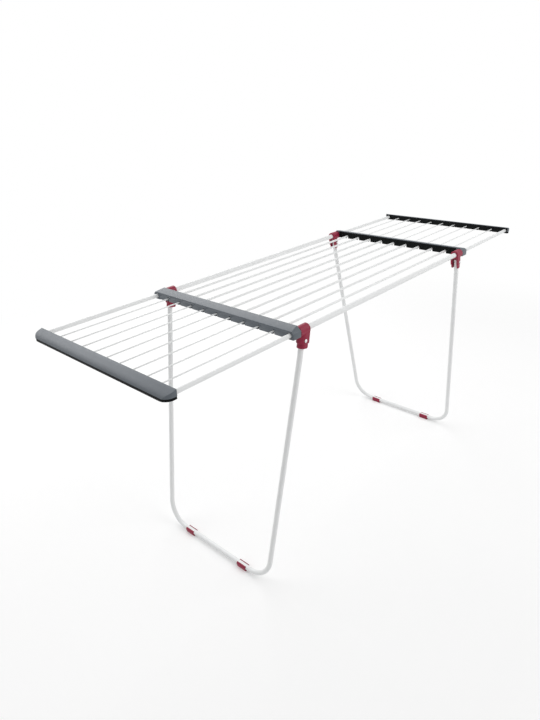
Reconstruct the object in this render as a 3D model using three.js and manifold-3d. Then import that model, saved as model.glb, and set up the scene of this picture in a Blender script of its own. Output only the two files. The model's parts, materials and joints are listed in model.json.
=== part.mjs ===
// Extendable clothes drying rack: a telescoping frame of rails and tubes, two pull-out
// wings of rods and wires, and two U-shaped legs that fold up under the frame.
// Millimetres, +Z up, +X along the rails. Origin: middle of the rack, on the floor.

import * as THREE from 'three';
import { mergeVertices } from 'three/addons/utils/BufferGeometryUtils.js';
import Module from 'manifold-3d';

const wasm = await Module();
wasm.setup();

// ---------------------------------------------------------------- driving dimensions

// Drying surface
const RAIL_SPACING = 560;        // between the axes of the two outer rails
const RAIL_HEIGHT = 830;         // rail axis above the floor
const LINE_COUNT = 9;            // tubes between the rails, and wires in each wing
const FRAME_REACH = 500;         // middle of the rack to the outer face of a crossbar
const WING_REACH = 386;          // crossbar face to the inner face of the pulled-out grip

// Round stock
const RAIL_RADIUS = 8.5;
const RAIL_WALL = 1;
const ROD_RADIUS = 6.3;
const ROD_WALL = 1;
const TUBE_RADIUS = 4;
const TUBE_WALL = 0.8;
const WIRE_RADIUS = 2;
const LEG_RADIUS = 8;
const LEG_WALL = 1.2;

// Fits
const SEAT_GAP = 0.3;            // between pieces that touch
const RUNNING_GAP = 0.4;         // between a sliding or turning piece and its guide

// Crossbar cover, measured from the rail axis
const BAR_DEPTH = 32;
const BAR_RIDGE = 19;
const BAR_CREASE = 13;
const BAR_SKIRT = 8;
const BAR_EDGE = 1.2;            // small chamfers along ridge and crease
const BAR_SHELL = 2.4;
const BAR_END = 14;              // end face beyond the rail axis
const BAR_END_DROP = 10.5;
const BAR_END_CHEEK = 13;        // inner side of the end block from the rail axis
const MITRE_RUN = 14;
const MITRE_FALL = 12;
const ROD_MOUTH = 8.2;           // hole for the rod, a little less than the rail it stops
const ARCH_RISE = 5;             // skirt arch over a wire, above the wire axis
const ARCH_TOP_WIDTH = 6;
const ARCH_FOOT_WIDTH = 11;

// Guide comb inside a crossbar
const COMB_WALL = 2.4;
const COMB_DROP = 9;
const COMB_RIB = 1.6;
const COMB_SLOT_RATIO = 0.85;    // snap-in slot width over the bore width
const COMB_PANEL_RIB = 1.4;      // upright ribs on the comb's back face, two between tubes
const COMB_PANEL_RIB_PROUD = 0.8;

// Grip at the end of a wing
const GRIP_DEPTH = 33;
const GRIP_TOP = 14;
const GRIP_CREASE_IN = 20;       // crease behind which the grip falls away steeply
const GRIP_CREASE_UP = 8;
const GRIP_SKIRT = 7;
const GRIP_LIP = 3.4;            // how far the outer face leans out below the crease
const GRIP_EDGE = 1.2;           // chamfer along the inner top edge
const GRIP_SHELL = 2.4;
const GRIP_OVERHANG = 14;        // end of the grip beyond the rod axis
const GRIP_CORNER = 25;
const TRAY_INSET = 0.8;          // tray edge inside the cover's
const TRAY_FLOOR = 3;
const TRAY_WALL = 2.5;
const TRAY_LEDGE = 11;           // depth of the ledge behind the wall that the ends lie in
const ROD_SOCKET = 15;           // how deep a rod sits in the grip
const WIRE_SOCKET = 10;

// Sliding guides
const ROD_ENGAGED = 66;          // rod left inside the rail when pulled out
const WIRE_ENGAGED = 56;
const BUSH_LENGTH = 15;
const BUSH_FLANGE = 2.4;
const BEAD_LENGTH = 6;
const BEAD_SLOPE = 1;
const RAIL_END_SETBACK = 6;      // rail end behind the crossbar face

// Leg connector
const SLEEVE_LENGTH = 38;
const SLEEVE_RADIUS = 15;
const PIVOT_SETBACK = 21;        // pivot from the inner end of the sleeve
const PIVOT_DROP = 28;           // pivot below the rail axis
const FORK_HALF_WIDTH = 14.5;
const FORK_INNER_EDGE = 13.2;    // open side of the fork from the leg axis
const HOOD_REACH = 16;           // closed side of the hood from the leg axis
const HOOD_LENGTH = 9;           // hood below the pivot
const HOOD_ROUND = 2.5;
const COLLAR_REACH = 11;
const COLLAR_HALF_WIDTH = 13;
const COLLAR_LENGTH = 23;        // collar below the pivot
const COLLAR_CORNER = 5;         // rounding of the collar's lower open corner
const LEG_STUB = 9;              // leg above the pivot

// Rivet
const RIVET_RADIUS = 3;
const RIVET_HEAD_RADIUS = 5.2;
const RIVET_HEAD_RISE = 2.2;
const RIVET_DOME_STEPS = 3;
const RIVET_TAIL_RADIUS = 4.6;
const RIVET_TAIL_RISE = 1.4;

// Leg
const LEG_SPLAY = THREE.MathUtils.degToRad(10.5);
const LEG_BASE_HALF = 237;       // middle to the corner of the leg's base
const LEG_STRAIGHT = 45;         // parallel stretch below the pivot
const LEG_BEND = 80;
const FOOT_PAD = 4;
const FOOT_PAD_WIDTH = 15;
const FOOT_WALL = 2.2;
const FOOT_LENGTH = 38;
const FOOT_OFFSET = 128;         // foot clip from the middle of the base
const FOOT_MOUTH = THREE.MathUtils.degToRad(38);

// How far a cutting solid reaches past the face that it opens
const PAST = 1;

// Flat facets round each kind of bar and hole, and steps in each rounded outline
const SIDES = {
  rail: 20, railBore: 12, tube: 10, tubeBore: 6, rod: 14, wire: 8, bush: 12,
  sleeve: 20, legSlot: 14, legTube: 14, legBore: 6, rivet: 10,
};
const STEPS = {
  arch: 2, slot: 3, gripSection: 5, gripCorner: 4, fork: 4, hoodEdge: 2, saddle: 6, legBend: 6,
};

// ---------------------------------------------------------------- derived places

const railY = RAIL_SPACING / 2;
const linePitch = RAIL_SPACING / (LINE_COUNT + 1);
const lineY = Array.from({ length: LINE_COUNT }, (_, i) => railY - (i + 1) * linePitch);
const barBack = FRAME_REACH - BAR_DEPTH;
const barBackOpening = RAIL_HEIGHT + BAR_RIDGE - BAR_SHELL;
const blockInnerY = railY - BAR_END_CHEEK;
const railEnd = FRAME_REACH - RAIL_END_SETBACK;
const gripFace = FRAME_REACH + WING_REACH;
const gripOpening = RAIL_HEIGHT + GRIP_TOP - GRIP_SHELL;
const combBack = barBack + SEAT_GAP;
const combFront = FRAME_REACH - BAR_SHELL - SEAT_GAP;
const combWeb = RAIL_HEIGHT + BAR_CREASE - BAR_EDGE - BAR_SHELL - SEAT_GAP;
const tubeEnd = combFront - COMB_WALL - SEAT_GAP;
const sleeveInner = barBack - SEAT_GAP - SLEEVE_LENGTH;
const pivotX = sleeveInner + PIVOT_SETBACK;
const pivotZ = RAIL_HEIGHT - PIVOT_DROP;
const legBaseZ = LEG_RADIUS + SEAT_GAP + FOOT_PAD;
const legLength = (pivotZ - legBaseZ) / Math.cos(LEG_SPLAY);
const legBaseX = pivotX + legLength * Math.sin(LEG_SPLAY);

// ---------------------------------------------------------------- finishes

function finish(color, roughness, metalness = 0) {
  return new THREE.MeshStandardMaterial({ color, roughness, metalness });
}

const paint = () => finish('#eef0f1', 0.35);
const greyPlastic = () => finish('#8b9199', 0.55);
const blackPlastic = () => finish('#15191a', 0.5);
const crimsonPlastic = () => finish('#a8254a', 0.45);
const bareSteel = () => finish('#c6c9cc', 0.25, 1);

// ---------------------------------------------------------------- solids

const GRID_PER_MM = 512;

// Faces meant to be flush agree exactly once every corner lies on this fine grid.
function onGrid(value) {
  return Math.round(value * GRID_PER_MM) / GRID_PER_MM;
}

function solid(geometry) {
  const bare = geometry.clone();
  bare.deleteAttribute('normal');
  bare.deleteAttribute('uv');
  const merged = mergeVertices(bare);
  const vertProperties = Float32Array.from(merged.attributes.position.array, onGrid);
  const triVerts = new Uint32Array(merged.index.array);
  return new wasm.Manifold(new wasm.Mesh({ numProp: 3, vertProperties, triVerts }));
}

function geometryOf(body) {
  const { vertProperties, triVerts } = body.getMesh();
  const geometry = new THREE.BufferGeometry();
  geometry.setAttribute('position', new THREE.BufferAttribute(vertProperties, 3));
  geometry.setIndex(new THREE.BufferAttribute(triVerts, 1));
  return geometry;
}

function piece(name, shape, material) {
  const geometry = shape.isBufferGeometry ? shape : geometryOf(shape);
  const mesh = new THREE.Mesh(geometry, material);
  mesh.name = name;
  return mesh;
}

// Where a drawing's right, up and extrusion directions point for each way of extruding it.
const AXES = {
  x: [new THREE.Vector3(0, 1, 0), new THREE.Vector3(0, 0, 1), new THREE.Vector3(1, 0, 0)],
  y: [new THREE.Vector3(1, 0, 0), new THREE.Vector3(0, 0, 1), new THREE.Vector3(0, -1, 0)],
  z: [new THREE.Vector3(1, 0, 0), new THREE.Vector3(0, 1, 0), new THREE.Vector3(0, 0, 1)],
};

// Extrude a drawing along an axis, from one coordinate on that axis to the other.
function extrude(shape, axis, from, to, options = {}) {
  const depth = Math.abs(to - from);
  const geometry = new THREE.ExtrudeGeometry(shape, {
    depth, bevelEnabled: false, curveSegments: 12, ...options,
  });
  const start = axis === 'y' ? Math.max(from, to) : Math.min(from, to);
  const place = new THREE.Matrix4().makeBasis(...AXES[axis]);
  geometry.applyMatrix4(place);
  geometry.translate(axis === 'x' ? start : 0, axis === 'y' ? start : 0, axis === 'z' ? start : 0);
  return geometry;
}

function outline(points) {
  return new THREE.Shape(points.map(([a, b]) => new THREE.Vector2(a, b)));
}

function box(x0, x1, y0, y1, z0, z1) {
  const geometry = new THREE.BoxGeometry(x1 - x0, y1 - y0, z1 - z0);
  geometry.translate((x0 + x1) / 2, (y0 + y1) / 2, (z0 + z1) / 2);
  return solid(geometry);
}

// A round bar on an axis through (a, b), which are the two other coordinates in order.
function rod(axis, radius, from, to, a, b, sides) {
  const length = Math.abs(to - from);
  const geometry = new THREE.CylinderGeometry(radius, radius, length, sides);
  const middle = (from + to) / 2;
  if (axis === 'x') {
    geometry.rotateZ(-Math.PI / 2);
    geometry.translate(middle, a, b);
  } else if (axis === 'y') {
    geometry.translate(a, middle, b);
  } else {
    geometry.rotateX(Math.PI / 2);
    geometry.translate(a, b, middle);
  }
  return solid(geometry);
}

// Section of a hollow tube. The bore is seen only at its ends, so it has fewer sides.
function ring(outer, inner, sides, boreSides) {
  const shape = new THREE.Shape(circlePoints(outer, sides));
  shape.holes.push(new THREE.Path(circlePoints(inner, boreSides).reverse()));
  return shape;
}

function circlePoints(radius, sides, cx = 0, cy = 0) {
  return Array.from({ length: sides }, (_, i) => {
    const angle = (i / sides) * 2 * Math.PI;
    return new THREE.Vector2(cx + radius * Math.cos(angle), cy + radius * Math.sin(angle));
  });
}

// ---------------------------------------------------------------- frame: rails and tubes

function outerRail(name, y) {
  const section = ring(RAIL_RADIUS, RAIL_RADIUS - RAIL_WALL, SIDES.rail, SIDES.railBore);
  const geometry = extrude(section, 'x', -railEnd, railEnd);
  geometry.translate(0, y, RAIL_HEIGHT);
  return piece(name, geometry, paint());
}

function dryingTube(name, y) {
  const section = ring(TUBE_RADIUS, TUBE_RADIUS - TUBE_WALL, SIDES.tube, SIDES.tubeBore);
  const geometry = extrude(section, 'x', -tubeEnd, tubeEnd);
  geometry.translate(0, y, RAIL_HEIGHT);
  return piece(name, geometry, paint());
}

// ---------------------------------------------------------------- crossbar cover

// Outline of the crossbar seen along Y, closed down to `drop` below the rail axis.
function barSection(inset, drop) {
  const z = RAIL_HEIGHT;
  const back = barBack + inset;
  const front = FRAME_REACH - inset;
  const ridge = z + BAR_RIDGE - inset;
  const crease = z + BAR_CREASE - inset;
  return outline([
    [back, z - drop],
    [front, z - drop],
    [front, crease - BAR_EDGE],
    [front - BAR_EDGE, crease],
    [back + BAR_EDGE, ridge],
    [back, ridge - BAR_EDGE],
  ]);
}

// Skirt arch over one wire: narrow above, flaring to the open foot.
function skirtArch(y) {
  const z = RAIL_HEIGHT;
  const top = ARCH_TOP_WIDTH / 2;
  const foot = ARCH_FOOT_WIDTH / 2;
  const shape = new THREE.Shape();
  shape.moveTo(y - foot, z - BAR_SKIRT - PAST);
  shape.lineTo(y + foot, z - BAR_SKIRT - PAST);
  shape.lineTo(y + top, z + ARCH_RISE - top);
  shape.absarc(y, z + ARCH_RISE - top, top, 0, Math.PI, false);
  shape.closePath();
  const inside = FRAME_REACH - BAR_SHELL - PAST;
  return solid(extrude(shape, 'x', inside, FRAME_REACH + PAST, { curveSegments: STEPS.arch }));
}

// Wedge above the mitred end of the crossbar, on the +Y or -Y side.
function mitreCut(side) {
  const far = railY + BAR_END;
  const top = RAIL_HEIGHT + BAR_RIDGE;
  const shape = outline([
    [side * (far - MITRE_RUN), top],
    [side * (far + PAST), top - (MITRE_FALL * (MITRE_RUN + PAST)) / MITRE_RUN],
    [side * (far + PAST), top + PAST],
    [side * (far - MITRE_RUN), top + PAST],
  ]);
  return solid(extrude(shape, 'x', barBack - PAST, FRAME_REACH + PAST));
}

function crossbarCover(name) {
  const endY = railY + BAR_END;
  const shellInside = extrude(barSection(BAR_SHELL, BAR_SKIRT + PAST), 'y', -endY - PAST, endY + PAST);
  let body = solid(extrude(barSection(0, BAR_SKIRT), 'y', -endY, endY));
  body = body.subtract(solid(shellInside));
  // The back is open for the comb, right up to the underside of the top face.
  const backDepth = barBack + BAR_SHELL + PAST;
  body = body.subtract(box(barBack - PAST, backDepth, -endY - PAST, endY + PAST, 0, barBackOpening));
  for (const side of [1, -1]) {
    const block = extrude(barSection(0, BAR_END_DROP), 'y', side * blockInnerY, side * endY);
    body = body.add(solid(block));
  }
  for (const side of [1, -1]) {
    body = body.subtract(mitreCut(side));
    const y = side * railY;
    const seat = railEnd + BUSH_FLANGE + 2 * SEAT_GAP;
    const bore = RAIL_RADIUS + SEAT_GAP;
    body = body.subtract(rod('x', bore, barBack - PAST, seat, y, RAIL_HEIGHT, SIDES.rail));
    body = body.subtract(rod('x', ROD_MOUTH, barBack, FRAME_REACH + PAST, y, RAIL_HEIGHT, SIDES.rail));
  }
  for (const y of lineY) body = body.subtract(skirtArch(y));
  return piece(name, body, greyPlastic());
}

// ---------------------------------------------------------------- crossbar comb

// Keyhole open at the foot, so that a tube or wire snaps in from below.
function snapSlot(x0, x1, y, radius, floor) {
  const half = radius * COMB_SLOT_RATIO;
  const lip = Math.acos(COMB_SLOT_RATIO);
  const shape = new THREE.Shape();
  shape.moveTo(y - half, floor - PAST);
  shape.lineTo(y + half, floor - PAST);
  shape.absarc(y, RAIL_HEIGHT, radius, -lip, Math.PI + lip, false);
  shape.closePath();
  return solid(extrude(shape, 'x', x0, x1, { curveSegments: STEPS.slot }));
}

// Plan of the comb's back wall, whose back face has two upright ribs between tubes.
function combBackPlan(endY) {
  const front = combBack + COMB_WALL;
  const proud = combBack - COMB_PANEL_RIB_PROUD;
  const half = COMB_PANEL_RIB / 2;
  const points = [[front, -endY], [front, endY], [combBack, endY]];
  for (const y of [railY, ...lineY]) {
    for (const ribY of [y - linePitch / 3, y - (2 * linePitch) / 3]) {
      points.push([combBack, ribY + half], [proud, ribY + half]);
      points.push([proud, ribY - half], [combBack, ribY - half]);
    }
  }
  points.push([combBack, -endY]);
  return outline(points);
}

function crossbarComb(name) {
  const endY = blockInnerY - SEAT_GAP;
  const floor = RAIL_HEIGHT - COMB_DROP;
  const web = combWeb;
  const backTop = barBackOpening - SEAT_GAP;
  let body = solid(extrude(combBackPlan(endY), 'z', floor, backTop));
  body = body.add(box(combBack, combFront, -endY, endY, web - COMB_WALL, web));
  body = body.add(box(combFront - COMB_WALL, combFront, -endY, endY, floor, web));
  for (const y of lineY.slice(1)) {
    const side = y + (linePitch - COMB_RIB) / 2;
    body = body.add(box(combBack + COMB_WALL / 2, combFront, side, side + COMB_RIB, floor, web));
  }
  const tubeSeat = TUBE_RADIUS + SEAT_GAP;
  const wireGuide = WIRE_RADIUS + RUNNING_GAP;
  for (const y of lineY) {
    body = body.subtract(snapSlot(combBack - PAST, combBack + COMB_WALL + PAST, y, tubeSeat, floor));
    body = body.subtract(snapSlot(combFront - COMB_WALL - PAST, combFront + PAST, y, wireGuide, floor));
  }
  return piece(name, body, blackPlastic());
}

// ---------------------------------------------------------------- grip of a wing

// Outline of the grip seen along Y; the skirt ends `drop` below the rod axis.
function gripSection(inset, drop) {
  const z = RAIL_HEIGHT;
  const inner = gripFace + inset;
  const creaseX = gripFace + GRIP_CREASE_IN - inset / 2;
  const creaseZ = z + GRIP_CREASE_UP - inset;
  const outer = gripFace + GRIP_DEPTH - inset;
  const waist = { x: outer - GRIP_LIP, z: z + GRIP_CREASE_UP / 2 - inset };
  const shape = new THREE.Shape();
  shape.moveTo(inner, z - drop);
  shape.lineTo(outer, z - drop);
  shape.quadraticCurveTo(waist.x, waist.z, creaseX, creaseZ);
  shape.lineTo(inner + GRIP_EDGE, z + GRIP_TOP - inset);
  shape.lineTo(inner, z + GRIP_TOP - GRIP_EDGE - inset);
  shape.closePath();
  return shape;
}

// Plan of the grip, with its two outer corners rounded.
function gripPlan(inset) {
  const inner = gripFace + inset;
  const outer = gripFace + GRIP_DEPTH - inset;
  const end = railY + GRIP_OVERHANG - inset;
  const radius = GRIP_CORNER - inset;
  const shape = new THREE.Shape();
  shape.moveTo(inner, -end);
  shape.lineTo(outer - radius, -end);
  shape.absarc(outer - radius, -end + radius, radius, -Math.PI / 2, 0, false);
  shape.absarc(outer - radius, end - radius, radius, 0, Math.PI / 2, false);
  shape.lineTo(inner, end);
  shape.closePath();
  return shape;
}

function gripBlock(inset, drop) {
  const end = railY + GRIP_OVERHANG + PAST;
  const section = extrude(gripSection(inset, drop), 'y', -end, end, { curveSegments: STEPS.gripSection });
  const z0 = RAIL_HEIGHT - drop - PAST;
  const z1 = RAIL_HEIGHT + GRIP_TOP + PAST;
  const plan = extrude(gripPlan(inset), 'z', z0, z1, { curveSegments: STEPS.gripCorner });
  return solid(section).intersect(solid(plan));
}

function gripCover(name) {
  const endY = railY + GRIP_OVERHANG;
  let body = gripBlock(0, GRIP_SKIRT).subtract(gripBlock(GRIP_SHELL, GRIP_SKIRT + PAST));
  // The tray's inner wall closes the side that faces the rods.
  const wallEnd = endY - GRIP_SHELL;
  const wallDepth = gripFace + GRIP_SHELL + PAST;
  body = body.subtract(box(gripFace - PAST, wallDepth, -wallEnd, wallEnd, 0, gripOpening));
  return piece(name, body, greyPlastic());
}

function gripTray(name) {
  const z = RAIL_HEIGHT;
  const floorTop = z - GRIP_SKIRT - SEAT_GAP;
  const floorBottom = floorTop - TRAY_FLOOR;
  const endY = railY + GRIP_OVERHANG - GRIP_SHELL - SEAT_GAP;
  const wallTop = gripOpening - SEAT_GAP;
  const face = gripFace + TRAY_INSET;
  const ledgeEnd = face + TRAY_LEDGE;
  const plan = gripPlan(TRAY_INSET);
  let body = solid(extrude(plan, 'z', floorBottom, floorTop, { curveSegments: STEPS.gripCorner }));
  body = body.add(box(face, face + TRAY_WALL, -endY, endY, floorBottom, wallTop));
  const ledgeSide = endY - TRAY_WALL;
  body = body.add(box(face, ledgeEnd, -ledgeSide, ledgeSide, floorBottom, z));
  for (const side of [1, -1]) {
    const bore = ROD_RADIUS + SEAT_GAP;
    body = body.subtract(rod('x', bore, gripFace, ledgeEnd + PAST, side * railY, z, SIDES.rod));
  }
  for (const y of lineY) {
    const bore = WIRE_RADIUS + SEAT_GAP;
    body = body.subtract(snapSlot(face - PAST, ledgeEnd + PAST, y, bore, floorBottom));
  }
  return piece(name, body, blackPlastic());
}

// ---------------------------------------------------------------- rods, wires and guides

// Turn a profile of [radius, place along the rail] pairs into a solid round a rail's axis.
function revolved(profile, y, sides) {
  const geometry = new THREE.LatheGeometry(profile.map(([r, h]) => new THREE.Vector2(r, h)), sides);
  geometry.rotateZ(-Math.PI / 2);
  geometry.translate(0, y, RAIL_HEIGHT);
  return solid(geometry);
}

// Tubular rod of a wing: a swaged bead near its inner end stops it at the rail's bush.
function wingRod(name, y) {
  const inner = FRAME_REACH - ROD_ENGAGED;
  const outer = gripFace + ROD_SOCKET;
  const bore = ROD_RADIUS - ROD_WALL;
  const beadEnd = railEnd - BUSH_LENGTH + BUSH_FLANGE - SEAT_GAP;
  const beadRadius = RAIL_RADIUS - RAIL_WALL - RUNNING_GAP;
  const profile = [
    [bore, inner],
    [ROD_RADIUS, inner],
    [ROD_RADIUS, beadEnd - BEAD_LENGTH],
    [beadRadius, beadEnd - BEAD_LENGTH + BEAD_SLOPE],
    [beadRadius, beadEnd - BEAD_SLOPE],
    [ROD_RADIUS, beadEnd],
    [ROD_RADIUS, outer],
    [bore, outer],
    [bore, inner],
  ];
  return piece(name, revolved(profile, y, SIDES.rod), paint());
}

function wingWire(name, y) {
  const inner = FRAME_REACH - WIRE_ENGAGED;
  const outer = gripFace + WIRE_SOCKET;
  return piece(name, rod('x', WIRE_RADIUS, inner, outer, y, RAIL_HEIGHT, SIDES.wire), paint());
}

// Plastic guide pressed into the mouth of a rail; the rod slides through it.
function railBush(name, y) {
  const bore = ROD_RADIUS + SEAT_GAP;
  const plug = RAIL_RADIUS - RAIL_WALL - SEAT_GAP;
  const mouth = railEnd + SEAT_GAP;
  const profile = [
    [bore, mouth + BUSH_FLANGE - BUSH_LENGTH],
    [plug, mouth + BUSH_FLANGE - BUSH_LENGTH],
    [plug, mouth],
    [RAIL_RADIUS, mouth],
    [RAIL_RADIUS, mouth + BUSH_FLANGE],
    [bore, mouth + BUSH_FLANGE],
    [bore, mouth + BUSH_FLANGE - BUSH_LENGTH],
  ];
  return piece(name, revolved(profile, y, SIDES.bush), greyPlastic());
}

// ---------------------------------------------------------------- leg connector

// Plan of the fork across the leg: flat cheeks, closed and rounded on the outer side.
function forkPlan(reach, halfWidth) {
  const shape = new THREE.Shape();
  shape.moveTo(-FORK_INNER_EDGE, -halfWidth);
  shape.lineTo(0, -halfWidth);
  shape.absellipse(0, 0, reach, halfWidth, -Math.PI / 2, Math.PI / 2, false, 0);
  shape.lineTo(-FORK_INNER_EDGE, halfWidth);
  shape.closePath();
  return shape;
}

// Turn a solid built on a vertical leg axis so that it follows the splayed leg.
function alongLeg(geometry, y) {
  geometry.rotateY(-LEG_SPLAY);
  geometry.translate(pivotX, y, pivotZ);
  return solid(geometry);
}

// What rounding takes off the lower open corner of the collar, seen along Y.
function collarCorner() {
  const x = -FORK_INNER_EDGE;
  const z = -COLLAR_LENGTH;
  const shape = new THREE.Shape();
  shape.moveTo(x - PAST, z - PAST);
  shape.lineTo(x + COLLAR_CORNER, z - PAST);
  shape.absarc(x + COLLAR_CORNER, z + COLLAR_CORNER, COLLAR_CORNER, -Math.PI / 2, -Math.PI, true);
  shape.lineTo(x - PAST, z + COLLAR_CORNER);
  shape.closePath();
  return extrude(shape, 'y', -FORK_HALF_WIDTH, FORK_HALF_WIDTH, { curveSegments: STEPS.fork });
}

function legConnector(name, side) {
  const y = side * railY;
  const rail = RAIL_HEIGHT;
  const slot = LEG_RADIUS + RUNNING_GAP;
  // The cheeks rise to the rail axis, where they meet the widest part of the sleeve.
  const hoodTop = PIVOT_DROP / Math.cos(LEG_SPLAY);
  const collarPlan = forkPlan(COLLAR_REACH, COLLAR_HALF_WIDTH);
  const hoodPlan = forkPlan(HOOD_REACH - HOOD_ROUND, FORK_HALF_WIDTH - HOOD_ROUND);
  const sleeveOuter = sleeveInner + SLEEVE_LENGTH;
  let body = rod('x', SLEEVE_RADIUS, sleeveInner, sleeveOuter, y, rail, SIDES.sleeve);
  const hood = extrude(hoodPlan, 'z', -HOOD_LENGTH + HOOD_ROUND, hoodTop, {
    curveSegments: STEPS.fork,
    bevelEnabled: true,
    bevelThickness: HOOD_ROUND,
    bevelSize: HOOD_ROUND,
    bevelSegments: STEPS.hoodEdge,
  });
  body = body.add(alongLeg(hood, y));
  const collar = extrude(collarPlan, 'z', -COLLAR_LENGTH, 0, { curveSegments: STEPS.fork });
  body = body.add(alongLeg(collar, y).subtract(alongLeg(collarCorner(), y)));
  // Bore for the rail, channel for the leg, and room for its stub to turn.
  const bore = RAIL_RADIUS + SEAT_GAP;
  body = body.subtract(rod('x', bore, sleeveInner - PAST, sleeveOuter + PAST, y, rail, SIDES.rail));
  const channel = new THREE.CylinderGeometry(slot, slot, 2 * COLLAR_LENGTH, SIDES.legSlot);
  channel.rotateX(Math.PI / 2);
  channel.translate(0, 0, -COLLAR_LENGTH);
  body = body.subtract(alongLeg(channel, y));
  const stubTop = LEG_STUB + LEG_RADIUS;
  const mouth = new THREE.BoxGeometry(SLEEVE_LENGTH, 2 * slot, COLLAR_LENGTH + PAST + stubTop);
  mouth.translate(-SLEEVE_LENGTH / 2, 0, (stubTop - COLLAR_LENGTH - PAST) / 2);
  body = body.subtract(alongLeg(mouth, y));
  const stubSweep = Math.hypot(LEG_STUB, LEG_RADIUS) + RUNNING_GAP;
  body = body.subtract(rod('y', stubSweep, y - slot, y + slot, pivotX, pivotZ, SIDES.legSlot));
  const acrossFork = FORK_HALF_WIDTH + PAST;
  const hole = RIVET_RADIUS + SEAT_GAP;
  body = body.subtract(rod('y', hole, y - acrossFork, y + acrossFork, pivotX, pivotZ, SIDES.rivet));
  return piece(name, body, crimsonPlastic());
}

// Rivet through both cheeks of the fork and the leg; the domed head is on the outer side.
function pivotRivet(name, side) {
  const face = FORK_HALF_WIDTH + SEAT_GAP;
  const profile = [
    [0, -face - RIVET_TAIL_RISE],
    [RIVET_TAIL_RADIUS, -face - RIVET_TAIL_RISE],
    [RIVET_TAIL_RADIUS, -face],
    [RIVET_RADIUS, -face],
    [RIVET_RADIUS, face],
  ];
  for (let step = 0; step <= RIVET_DOME_STEPS; step += 1) {
    const angle = (step / RIVET_DOME_STEPS) * (Math.PI / 2);
    const radius = step < RIVET_DOME_STEPS ? RIVET_HEAD_RADIUS * Math.cos(angle) : 0;
    profile.push([radius, face + RIVET_HEAD_RISE * Math.sin(angle)]);
  }
  const points = profile.map(([radius, height]) => new THREE.Vector2(radius, height));
  const geometry = new THREE.LatheGeometry(points, SIDES.rivet);
  if (side < 0) geometry.rotateZ(Math.PI);
  geometry.translate(pivotX, side * railY, pivotZ);
  return piece(name, solid(geometry), bareSteel());
}

// ---------------------------------------------------------------- leg

// A path whose extrusion steps fall on the given stations instead of at even spacing.
class StationPath extends THREE.Curve {
  constructor(stations) {
    super();
    this.stations = stations;
  }

  getUtoTmapping(u) {
    return u;
  }

  getPoint(t, target = new THREE.Vector3()) {
    const last = this.stations.length - 1;
    const i = Math.min(Math.floor(t * last + 1e-9), last - 1);
    return target.lerpVectors(this.stations[i].point, this.stations[i + 1].point, t * last - i);
  }

  getTangent(t, target = new THREE.Vector3()) {
    const last = this.stations.length - 1;
    const i = Math.min(Math.round(t * last), last);
    return target.copy(this.stations[i].along);
  }
}

// Half of the leg's centre line, from the stub above the pivot to the middle of the base,
// in the leg's own plane: Y sideways and Z up, with the pivot at height 0.
function legStations() {
  const fall = legLength - LEG_STRAIGHT;
  const taper = Math.atan2(railY - LEG_BASE_HALF, fall);
  const down = new THREE.Vector3(0, -Math.sin(taper), -Math.cos(taper));
  const inward = new THREE.Vector3(0, -Math.cos(taper), Math.sin(taper));
  const turn = Math.PI / 2 - taper;
  const corner = new THREE.Vector3(0, LEG_BASE_HALF, -legLength);
  const start = corner.clone().addScaledVector(down, -LEG_BEND * Math.tan(turn / 2));
  const centre = start.clone().addScaledVector(inward, LEG_BEND);
  const straightDown = new THREE.Vector3(0, 0, -1);
  const stations = [
    { point: new THREE.Vector3(0, railY, LEG_STUB), along: straightDown },
    { point: new THREE.Vector3(0, railY, -LEG_STRAIGHT), along: down.clone().lerp(straightDown, 0.5) },
  ];
  for (let i = 0; i <= STEPS.legBend; i += 1) {
    const angle = (turn * i) / STEPS.legBend;
    const point = centre.clone()
      .addScaledVector(inward, -LEG_BEND * Math.cos(angle))
      .addScaledVector(down, LEG_BEND * Math.sin(angle));
    const along = down.clone().multiplyScalar(Math.cos(angle)).addScaledVector(inward, Math.sin(angle));
    stations.push({ point, along });
  }
  return stations;
}

function legFrame(name) {
  const half = legStations();
  const other = half.map(({ point, along }) => ({
    point: new THREE.Vector3(0, -point.y, point.z),
    along: new THREE.Vector3(0, along.y, -along.z),
  }));
  const path = new StationPath([...half, ...other.reverse()]);
  const steps = path.stations.length - 1;
  const section = ring(LEG_RADIUS, LEG_RADIUS - LEG_WALL, SIDES.legTube, SIDES.legBore);
  const geometry = new THREE.ExtrudeGeometry(section, { steps, bevelEnabled: false, extrudePath: path });
  const reach = railY + LEG_RADIUS + PAST;
  const hole = rod('y', RIVET_RADIUS + RUNNING_GAP, -reach, reach, 0, 0, SIDES.rivet);
  return piece(name, solid(geometry).subtract(hole), paint());
}

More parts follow.
